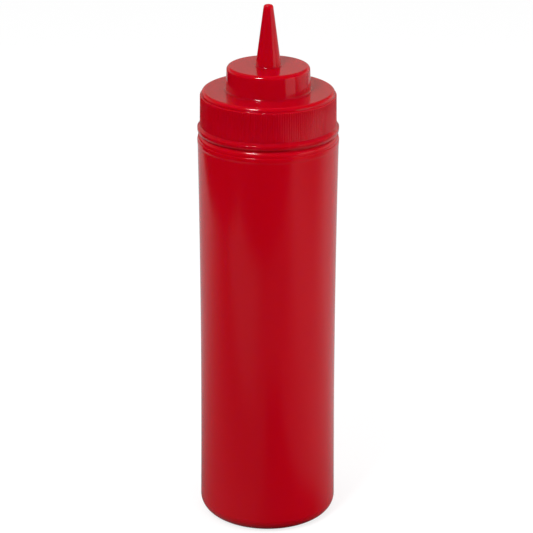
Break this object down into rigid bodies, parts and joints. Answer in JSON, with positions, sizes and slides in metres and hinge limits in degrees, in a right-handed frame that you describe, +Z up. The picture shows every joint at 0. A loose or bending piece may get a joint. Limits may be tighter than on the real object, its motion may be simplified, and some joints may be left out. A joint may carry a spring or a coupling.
{
  "type": "squeeze bottle",
  "caption": "Tall round wide-mouth squeeze bottle with a ribbed screw cap that carries a raised hub and a long tapered dispensing nozzle.",
  "frame": {"origin": "centre of the flat foot that the bottle stands on", "axes": "+Z up along the bottle's axis, from the foot towards the nozzle's tip; the form is round, so X and Y have no feature of their own"},
  "size_m": [0.0683, 0.0682, 0.2618],
  "materials": {
    "bottle": "satin red blown polyethylene",
    "cap": "glossy red moulded plastic"
  },
  "bodies": {
    "root": {"bottle": "bottle", "cap": "cap"}
  },
  "joints": []
}
